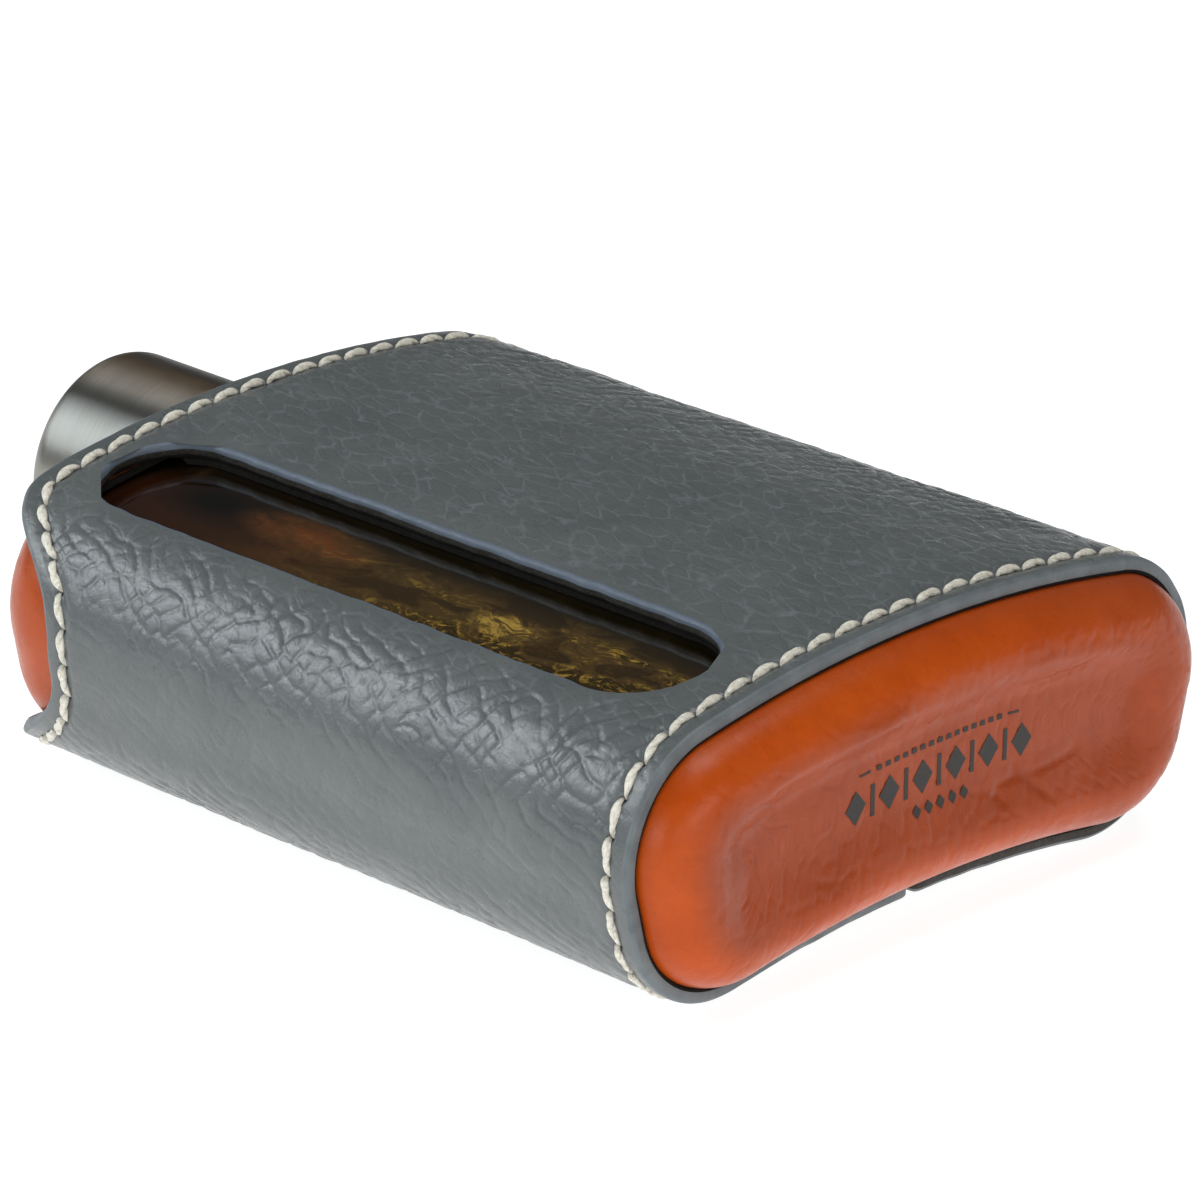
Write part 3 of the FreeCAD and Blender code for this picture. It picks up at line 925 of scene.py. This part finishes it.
class Nodes:
    """Short way to build a material's node tree. Coordinates are object coordinates, in metres."""

    def __init__(self, name):
        self.material = bpy.data.materials.new(name)
        self.material.use_nodes = True
        self.tree = self.material.node_tree
        self.shader = self.tree.nodes["Principled BSDF"]
        self.coordinates = self.tree.nodes.new("ShaderNodeTexCoord").outputs["Object"]

    def link(self, source, socket):
        self.tree.links.new(source, socket)

    def set(self, **values):
        """Numbers and colours that are the same all over the surface."""
        for label, value in values.items():
            self.shader.inputs[label.replace("_", " ")].default_value = value

    def node(self, kind, inputs):
        """A new node. Each of its inputs is given a value, or another node's output to follow."""
        node = self.tree.nodes.new("ShaderNode" + kind)
        for label, value in inputs.items():
            if isinstance(value, bpy.types.NodeSocket):
                self.link(value, node.inputs[label])
            else:
                node.inputs[label].default_value = value
        return node

    def mapped(self, vector=None, **settings):
        """Coordinates moved (Location), turned (Rotation) or scaled (Scale)."""
        return self.node("Mapping", {"Vector": vector or self.coordinates, **settings}).outputs[0]

    def noise(self, scale, detail=3.0, roughness=0.5, vector=None, distortion=0.0):
        inputs = {"Scale": scale, "Detail": detail, "Roughness": roughness, "Distortion": distortion}
        inputs["Vector"] = vector or self.coordinates
        return self.node("TexNoise", inputs).outputs["Fac"]

    def cell_edges(self, scale, vector):
        """Distance from the borders of irregular cells."""
        node = self.node("TexVoronoi", {"Scale": scale, "Vector": vector})
        node.feature = "DISTANCE_TO_EDGE"
        return node.outputs["Distance"]

    def warped(self, scale, amount):
        """Object coordinates pushed about by noise."""
        node = self.node("TexNoise", {"Scale": scale, "Vector": self.coordinates})
        push = {0: node.outputs["Color"], 1: (amount, amount, amount), 2: self.coordinates}
        add = self.node("VectorMath", push)
        add.operation = "MULTIPLY_ADD"
        return add.outputs["Vector"]

    def attribute(self, name):
        """A number stored at the mesh's points."""
        node = self.node("Attribute", {})
        node.attribute_name = name
        return node.outputs["Fac"]

    def ramp(self, value, stops):
        """A colour read off stops of (value, colour)."""
        node = self.node("ValToRGB", {"Fac": value})
        ramp = node.color_ramp
        while len(ramp.elements) < len(stops):
            ramp.elements.new(0.5)
        for element, (place, colour) in zip(ramp.elements, stops):
            element.position = place
            element.color = (*colour, 1)
        return node.outputs["Color"]

    def span(self, value, low, high, new_low, new_high):
        """low to high stretched to new_low to new_high, and held there beyond."""
        inputs = enumerate((value, low, high, new_low, new_high))
        return self.node("MapRange", dict(inputs)).outputs[0]

    def arithmetic(self, operation, a, b):
        node = self.node("Math", {0: a, 1: b})
        node.operation = operation
        return node.outputs[0]

    def product(self, a, b):
        return self.arithmetic("MULTIPLY", a, b)

    def total(self, a, b):
        return self.arithmetic("ADD", a, b)

    def patch(self, centre, size):
        """1 in the middle of an oval in x and y, falling to 0 at its edge. Metres."""
        place = (-centre[0] / size[0], -centre[1] / size[1], 0)
        oval = self.mapped(Location=place, Scale=(1 / size[0], 1 / size[1], 0))
        length = self.node("VectorMath", {0: oval})
        length.operation = "LENGTH"
        return self.span(length.outputs["Value"], 0.2, 1, 1, 0)

    def mix(self, factor, a, b):
        """a where factor is 0, b where it is 1. Each may be a number, a colour or an output."""
        inputs = {0: factor, 6: a, 7: b}
        for socket, value in inputs.items():
            if isinstance(value, tuple):
                inputs[socket] = (*value, 1)
        node = self.node("Mix", inputs)
        node.data_type = "RGBA"
        return node.outputs[2]

    def bump(self, height, strength, distance, under=None):
        """A normal for a height's relief, on top of the normal under it."""
        inputs = {"Strength": strength, "Distance": distance, "Height": height}
        if under:
            inputs["Normal"] = under
        return self.node("Bump", inputs).outputs["Normal"]

    def finish(self, colour, roughness, normal):
        for source, socket in ((colour, "Base Color"), (roughness, "Roughness"), (normal, "Normal")):
            self.link(source, self.shader.inputs[socket])
        return self.material


def grained_leather(name):
    """Finished grey leather: fine cells and pores, and long slanting creases on its flat front."""
    n = Nodes(name)
    n.set(Specular_IOR_Level=0.5, Sheen_Weight=0.03, Sheen_Roughness=0.45)
    clouds = n.noise(110, 4, 0.65)
    dark, middle, light = (0.095, 0.108, 0.110), (0.110, 0.122, 0.123), (0.127, 0.140, 0.140)
    colour = n.ramp(clouds, [(0.3, dark), (0.52, middle), (0.75, light)])
    slanted = n.mapped(n.warped(260, 0.0022), Rotation=(0, 0, 0.35))
    slants = n.cell_edges(1.0, n.mapped(slanted, Scale=(520, 215, 430)))
    flat = n.span(n.attribute("pale"), 0, 1, 0.12, 1.0)
    # painted highlight: lighter lines along the slanting creases of the flat front, where ridge edges
    # would catch the light
    pale = n.product(n.span(slants, 0.015, 0.075, 1, 0), flat)
    pale = n.product(pale, n.span(n.noise(420, 3, 0.6), 0.38, 0.60, 0.0, 0.44))
    colour = n.mix(pale, colour, (0.215, 0.250, 0.262))
    # painted shade: darker colour in the creases and stitch grooves
    colour = n.mix(n.span(n.attribute("crease"), 0, 1, 0, 0.7), colour, (0.035, 0.042, 0.045))
    network = n.cell_edges(950, n.warped(350, 0.0012))
    normal = n.bump(n.product(n.span(slants, 0.0, 0.12, 0, 1), flat), 0.26, 0.00018)
    normal = n.bump(n.span(network, 0.0, 0.2, 0.0, 1.0), 0.12, 0.00010, normal)
    normal = n.bump(n.noise(3600, 3, 0.65), 0.35, 0.00006, normal)
    mottle = n.noise(600, 3, 0.6)
    return n.finish(colour, n.span(mottle, 0.3, 0.7, 0.24, 0.36), normal)


def dyed_leather(name):
    """Smooth orange leather, richer at the rounded rim and duller in the hollow, with painted shade
    over its +x side.
    """
    n = Nodes(name)
    n.set(Specular_IOR_Level=0.2, Coat_Weight=0.04, Coat_Roughness=0.22)
    clouds = n.noise(120, 4, 0.65)
    rich = n.ramp(clouds, [(0.3, (0.44, 0.060, 0.004)), (0.7, (0.54, 0.084, 0.007))])
    dull_and_shaded = n.ramp(clouds, [(0.3, (0.31, 0.052, 0.012)), (0.7, (0.38, 0.068, 0.019))])
    colour = n.mix(n.attribute("depth"), rich, dull_and_shaded)
    speck = n.noise(1400, 3, 0.7)
    colour = n.mix(n.span(speck, 0.55, 0.8, 0, 0.3), colour, (0.24, 0.040, 0.012))
    pull = n.noise(1.0, 3, 0.6, n.mapped(Scale=(620, 300, 300)))
    normal = n.bump(pull, 0.30, 0.00018)
    folds = n.cell_edges(1.0, n.mapped(n.warped(260, 0.0024), Scale=(640, 300, 430)))
    broken = n.span(n.noise(300, 3, 0.6), 0.42, 0.62, 0, 1)
    normal = n.bump(n.product(n.span(folds, 0.0, 0.16, 1, 0), broken), -0.45, 0.00016, normal)
    normal = n.bump(n.noise(3200, 3, 0.6), 0.34, 0.00006, normal)
    return n.finish(colour, n.span(n.noise(500, 3, 0.6), 0.3, 0.7, 0.25, 0.40), normal)


def edge_paint(name):
    """Paint on the cut edges, worn away to dark fibres where the edge is bare."""
    n = Nodes(name)
    n.set(Specular_IOR_Level=0.3)
    clouds = n.noise(400, 4, 0.6)
    paint = n.ramp(clouds, [(0.3, (0.115, 0.135, 0.145)), (0.7, (0.175, 0.200, 0.212))])
    # painted reflection: the window's edge is tinted bluish, as if reflecting the light above it
    paint = n.mix(n.span(n.attribute("cool"), 0, 1, 0, 0.75), paint, (0.105, 0.136, 0.185))
    fuzz = n.noise(3000, 4, 0.8)
    fibres = n.ramp(fuzz, [(0.35, (0.006, 0.006, 0.005)), (0.75, (0.06, 0.055, 0.045))])
    bare = n.span(n.mix(0.35, n.attribute("bare"), fuzz), 0.42, 0.52, 0, 1)
    lumps = n.noise(900, 3, 0.55)
    normal = n.bump(lumps, 0.7, 0.00016)
    return n.finish(n.mix(bare, paint, fibres), n.span(lumps, 0.3, 0.7, 0.38, 0.56), normal)


def waxed_thread(name):
    """Pale twisted thread, with painted shade where it sinks into the leather."""
    n = Nodes(name)
    n.set(Specular_IOR_Level=0.4, Sheen_Weight=0.2)
    fibre = n.noise(2600, 4, 0.65, n.warped(900, 0.0006))
    dark, middle, light = (0.42, 0.39, 0.30), (0.72, 0.69, 0.59), (0.88, 0.86, 0.78)
    colour = n.ramp(fibre, [(0.25, dark), (0.5, middle), (0.7, light)])
    # painted shade: the thread darkens towards its ends, where it sinks into the leather
    colour = n.mix(n.span(n.attribute("strand"), 0.75, 1.0, 0, 0.5), colour, (0.16, 0.14, 0.11))
    normal = n.bump(fibre, 0.6, 0.00008)
    return n.finish(colour, n.span(fibre, 0.2, 0.8, 0.6, 0.42), normal)


def amber_glass(name):
    """Amber glass with painted golden glints and light towards the base end, a redder tint and painted
    reddish light towards the shoulder, and painted shade over its far half.
    """
    n = Nodes(name)
    n.set(IOR=1.48, Coat_Weight=0.35, Coat_Roughness=0.01)
    across, along, _ = n.node("SeparateXYZ", {0: n.coordinates}).outputs
    # masks that place the painted light and the painted shade below
    near_base = n.span(along, -0.022, 0.018, 1, 0)
    near_shoulder = n.span(along, -0.006, 0.030, 0, 1)
    near_edge = n.span(across, -0.0284, -0.0264, 0.25, 0)
    near_side = n.span(across, -0.0225, -0.0190, 1, 0.06)
    far_shade = n.span(across, -0.0215, -0.0180, 0, 0.85)
    streaks = n.mapped(n.warped(60, 0.010), Scale=(330, 110, 330))
    streaks = n.noise(1.0, 3, 0.55, streaks, distortion=0.8)
    glints = n.mapped(n.warped(140, 0.006), Scale=(900, 420, 900))
    glints = n.noise(1.0, 4, 0.7, glints, distortion=1.5)

    # painted light: sparkles, a gold spot and a reddish patch stand in for caustics of light entering
    # through the window
    painted_sparkle = n.span(glints, 0.50, 0.66, 0, 1)
    painted_gold_spot = n.patch((-0.0242, -0.0225), (0.0026, 0.0062))
    painted_gold_spot = n.product(painted_gold_spot, n.span(glints, 0.40, 0.60, 0.15, 1))
    painted_red_glow = n.patch((-0.0215, 0.0080), (0.0036, 0.0110))
    painted_red_glow = n.product(painted_red_glow, n.span(streaks, 0.35, 0.60, 0.4, 1))
    painted_glow = n.mix(painted_sparkle, (0.050, 0.030, 0.005), (0.64, 0.39, 0.06))
    painted_glow = n.mix(near_shoulder, painted_glow, (0.08, 0.014, 0.004))
    painted_glow = n.mix(painted_gold_spot, painted_glow, (0.66, 0.42, 0.08))
    painted_glow = n.mix(painted_red_glow, painted_glow, (0.34, 0.060, 0.012))

    colour = n.mix(near_shoulder, (0.72, 0.43, 0.12), (0.66, 0.17, 0.05))
    depth = n.mix(0.62, colour, (0.05, 0.022, 0.006))
    # painted shade: the tint is darkened over the far half, and in a patch towards the shoulder
    depth = n.mix(far_shade, depth, (0.030, 0.028, 0.008))
    depth = n.mix(n.patch((-0.0215, 0.0215), (0.0050, 0.0100)), depth, (0.020, 0.018, 0.010))

    # painted light: a haze near the base end and along the near edge; where it lies, transmission is
    # cut back so the painted light shows
    painted_haze = n.product(n.span(n.total(streaks, near_edge), 0.44, 0.66, 0, 1), near_side)
    lit = n.total(n.total(n.product(painted_haze, near_base), painted_gold_spot), painted_red_glow)
    clear = n.span(lit, 0.0, 0.9, 0.90, 0.35)
    n.link(clear, n.shader.inputs["Transmission Weight"])
    # the painted light takes the place of the clear tint where transmission is cut back
    tone = n.mix(n.span(clear, 0.35, 0.90, 1, 0), depth, painted_glow)
    waves = n.noise(55, 2, 0.4)
    return n.finish(tone, n.span(streaks, 0.3, 0.7, 0.06, 0.13), n.bump(waves, 0.30, 0.0014))


def brushed_steel(name):
    """Dark steel, brushed round the barrel and spun on the end."""
    n = Nodes(name)
    n.set(Metallic=1.0, Anisotropic=0.9, Anisotropic_Rotation=0.25)
    tangent = n.node("Tangent", {})
    tangent.direction_type = "RADIAL"
    tangent.axis = "Y"
    n.link(tangent.outputs["Tangent"], n.shader.inputs["Tangent"])
    lines = n.noise(1.0, 4, 0.7, n.mapped(Scale=(140, 4200, 140)))
    broad = n.noise(1.0, 3, 0.5, n.mapped(Scale=(60, 500, 60)))
    colour = n.ramp(lines, [(0.3, (0.300, 0.296, 0.272)), (0.7, (0.378, 0.373, 0.348))])
    colour = n.mix(0.2, colour, n.ramp(broad, [(0.3, (0.15, 0.15, 0.12)), (0.7, (0.30, 0.30, 0.28))]))
    normal = n.bump(lines, 0.12, 0.00004)
    return n.finish(colour, n.span(lines, 0.25, 0.75, 0.31, 0.38), normal)


def speckled(name, specular, grain, stops, roughness, bump):
    """A material whose colour, roughness and relief all follow one fine noise."""
    n = Nodes(name)
    n.set(Specular_IOR_Level=specular)
    speck = n.noise(*grain)
    return n.finish(n.ramp(speck, stops), n.span(speck, *roughness), n.bump(speck, *bump))


def moulded_plastic(name, colour, light):
    stops = [(0.3, colour), (0.7, light)]
    return speckled(name, 0.5, (1500, 3, 0.6), stops, (0.3, 0.7, 0.38, 0.52), (0.2, 0.00005))


GREY = grained_leather("grey_leather")
ORANGE = dyed_leather("orange_leather")
PAINT = edge_paint("edge_paint")
FUZZ = [(0.35, (0.004, 0.004, 0.004)), (0.75, (0.020, 0.017, 0.014))]
FLESH = speckled("flesh_side", 0.2, (2500, 5, 0.8), FUZZ, (0, 1, 0.85, 1.0), (0.9, 0.0002))
WAXED = waxed_thread("waxed_thread")
STEEL = brushed_steel("brushed_steel")
WORN = [(0.3, (0.022, 0.022, 0.022)), (0.72, (0.05, 0.045, 0.04))]
INK = speckled("print_ink", 0.35, (1600, 4, 0.7), WORN, (0.2, 0.8, 0.45, 0.7), (0.4, 0.00006))

# ---- assembly ----
MADE = [  # piece, its body, the CAD node it replaces, and its material slot
    (build_sleeve([GREY, PAINT, FLESH]), "flask", "grey_sleeve", "grey_leather"),
    (build_base_cup([ORANGE, FLESH]), "flask", "base_cup", "orange_leather"),
    (build_shoulder_cup([ORANGE, FLESH]), "flask", "shoulder_cup", "orange_leather"),
]
for end in ("base", "shoulder"):
    stitches = build_ring_stitches(end + "_stitches", end, WAXED)
    MADE.append((stitches, "flask", end + "_stitching", "waxed_thread"))
MADE += [
    (build_seam_stitches("seam_stitches", WAXED), "flask", "seam_stitching", "waxed_thread"),
    (build_print("base_print", INK), "flask", None, None),
    (build_cap([STEEL]), "cap", "cap_shell", "brushed_cap"),
]
for piece, part_body, node, slot_name in MADE:
    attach(piece, part_body)
    if node:
        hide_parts(node)

CARRIED = {
    "glass_bottle": amber_glass("amber_glass"),
    "sleeve_lining": FLESH,
    "cap_insert": moulded_plastic("black_plastic", (0.012, 0.012, 0.012), (0.022, 0.022, 0.022)),
    "seal_cone": moulded_plastic("white_plastic", (0.72, 0.72, 0.69), (0.80, 0.80, 0.77)),
}
for node, material in CARRIED.items():
    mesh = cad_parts[node].data
    mesh.materials.clear()
    mesh.materials.append(material)

# ---- floor, light and camera ----
FLOOR_SIZE = 6.0
bpy.ops.mesh.primitive_grid_add(x_subdivisions=4, y_subdivisions=4, size=FLOOR_SIZE)
floor = bpy.context.object
floor.name = "floor"
floor_finish = Nodes("floor_white")
floor_finish.set(Base_Color=(0.45, 0.45, 0.45, 1), Roughness=0.7)
floor_finish.set(Emission_Color=(1, 1, 1, 1), Emission_Strength=0.86)
floor.data.materials.append(floor_finish.material)

world = bpy.data.worlds.new("studio")
bpy.context.scene.world = world
world.use_nodes = True
background = world.node_tree.nodes["Background"]
background.inputs["Color"].default_value = (0.95, 0.97, 1.0, 1)
background.inputs["Strength"].default_value = 0.06

MIDDLE = Vector((0.0, 0.0, 0.02))
LAMPS = (  # name, place, width, height, watts and colour; all face the middle
    ("back_left_box", (-0.62, 0.80, 0.62), 0.9, 0.7, 6.0, (0.88, 0.95, 1.0)),
    ("side_box", (-1.1, -0.15, 0.35), 0.6, 0.4, 3.0, (0.97, 0.99, 1.0)),
    ("front_box", (-0.15, -1.1, 0.35), 0.9, 0.4, 3.4, (1.0, 0.98, 0.95)),
    ("rim_box", (-0.75, -0.85, 0.30), 0.22, 0.22, 0.7, (1.0, 1.0, 1.0)),
    ("top_box", (0.2, -0.1, 1.3), 0.7, 0.7, 7.0, (1.0, 0.99, 0.97)),
    ("key_box", (-0.60, 0.78, 0.66), 0.34, 0.28, 1.6, (0.95, 0.98, 1.0)),
    ("warm_strip", (0.61, 0.81, 0.74), 0.9, 0.012, 0.36, (1.0, 0.60, 0.28)),
)
REACH = {  # lamps that light only these pieces
    "key_box": ("sleeve_leather", "shoulder_stitches", "base_stitches", "shoulder_leather"),
    "warm_strip": ("cap_barrel",),
}
for name, place, width, height, power, colour in LAMPS:
    light = bpy.data.lights.new(name, "AREA")
    light.shape = "RECTANGLE"
    light.size = width
    light.size_y = height
    light.energy = power
    light.color = colour
    lamp = bpy.data.objects.new(name, light)
    lamp.location = place
    lamp.rotation_euler = (Vector(place) - MIDDLE).to_track_quat("Z", "Y").to_euler()
    bpy.context.scene.collection.objects.link(lamp)
    if name in REACH:
        lit_pieces = bpy.data.collections.new(name + "_reach")
        for piece_name in REACH[name]:
            lit_pieces.objects.link(bpy.data.objects[piece_name])
        lamp.light_linking.receiver_collection = lit_pieces

AZIMUTH = math.radians(-47.131)
ELEVATION = math.radians(21.864)
ROLL = math.radians(0.875)
DISTANCE = 1.0065
TARGET = Vector((0.04471, 0.02909, -0.00201))
lens = bpy.data.cameras.new("camera")
lens.sensor_width = 36.0
lens.lens = 276.13
lens.clip_start = 0.05
camera = bpy.data.objects.new("camera", lens)
bpy.context.scene.collection.objects.link(camera)
level = math.cos(ELEVATION)
facing = (math.sin(AZIMUTH) * level, -math.cos(AZIMUTH) * level, math.sin(ELEVATION))
facing = Vector(facing)
turned = facing.to_track_quat("Z", "Y").to_matrix().to_4x4() @ Matrix.Rotation(ROLL, 4, "Z")
camera.matrix_world = Matrix.Translation(TARGET + facing * DISTANCE) @ turned
bpy.context.scene.camera = camera
bpy.context.scene.view_settings.view_transform = "Standard"
